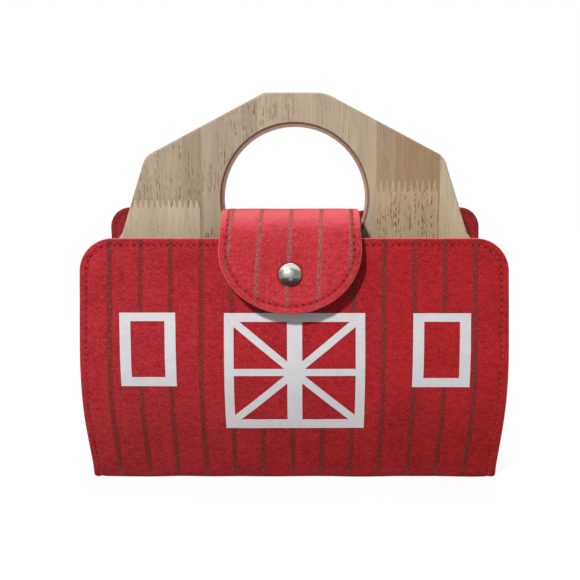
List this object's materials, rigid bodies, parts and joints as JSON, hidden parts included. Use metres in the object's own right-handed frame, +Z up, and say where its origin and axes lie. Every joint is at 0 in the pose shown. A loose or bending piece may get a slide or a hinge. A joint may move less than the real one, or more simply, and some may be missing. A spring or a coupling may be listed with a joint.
{
  "type": "toy farm carrying case",
  "caption": "Felt carrying case like a small barn: two walls folded up round a gambrel wooden handle board, closed by a flap through its hand hole.",
  "frame": {"origin": "middle of the underside of the base, on the floor", "axes": "+X along the width to the right of a person facing the barn door, -Y out of the front wall, +Z up"},
  "size_m": [0.24, 0.0878, 0.226],
  "materials": {
    "red_felt": "pressed felt, matt, short fibres",
    "red_lining": "thin pressed felt, matt",
    "pine": "sanded edge-glued pine, thin matt oil",
    "zinc_steel": "zinc plated",
    "bright_nickel": "polished nickel plate",
    "white_film": "heat-pressed film over felt"
  },
  "bodies": {
    "case_body": {"felt_base": "red_felt", "felt_back_wall": "red_felt", "felt_flap_bridge": "red_felt", "lining_base": "red_lining", "lining_back_wall": "red_lining", "lining_flap_bridge": "red_lining", "base_board": "pine", "handle_board": "pine", "handle_screws": "zinc_steel"},
    "front_wall": {"felt_front_wall": "red_felt", "lining_front_wall": "red_lining", "snap_stud": "bright_nickel", "snap_post": "bright_nickel", "door_trim": "white_film", "window_trim_left": "white_film", "window_trim_right": "white_film"},
    "flap_tongue": {"felt_flap_tongue": "red_felt", "lining_flap_tongue": "red_lining", "snap_cap": "bright_nickel", "snap_barrel": "bright_nickel", "snap_socket": "bright_nickel"}
  },
  "joints": [
    {"name": "front_wall_fold", "type": "hinge", "parent": "case_body", "child": "front_wall", "pos_m": [0, -0.0228, 0], "axis": [1, 0, 0], "range_deg": [0, 38]},
    {"name": "flap_lift", "type": "hinge", "parent": "case_body", "child": "flap_tongue", "pos_m": [0, -0.02118, 0.16004], "axis": [-1, 0, 0], "range_deg": [0, 156]}
  ],
  "couplings": [
    {"joint": "flap_lift", "follows": "front_wall_fold", "ratio": 4.1}
  ]
}
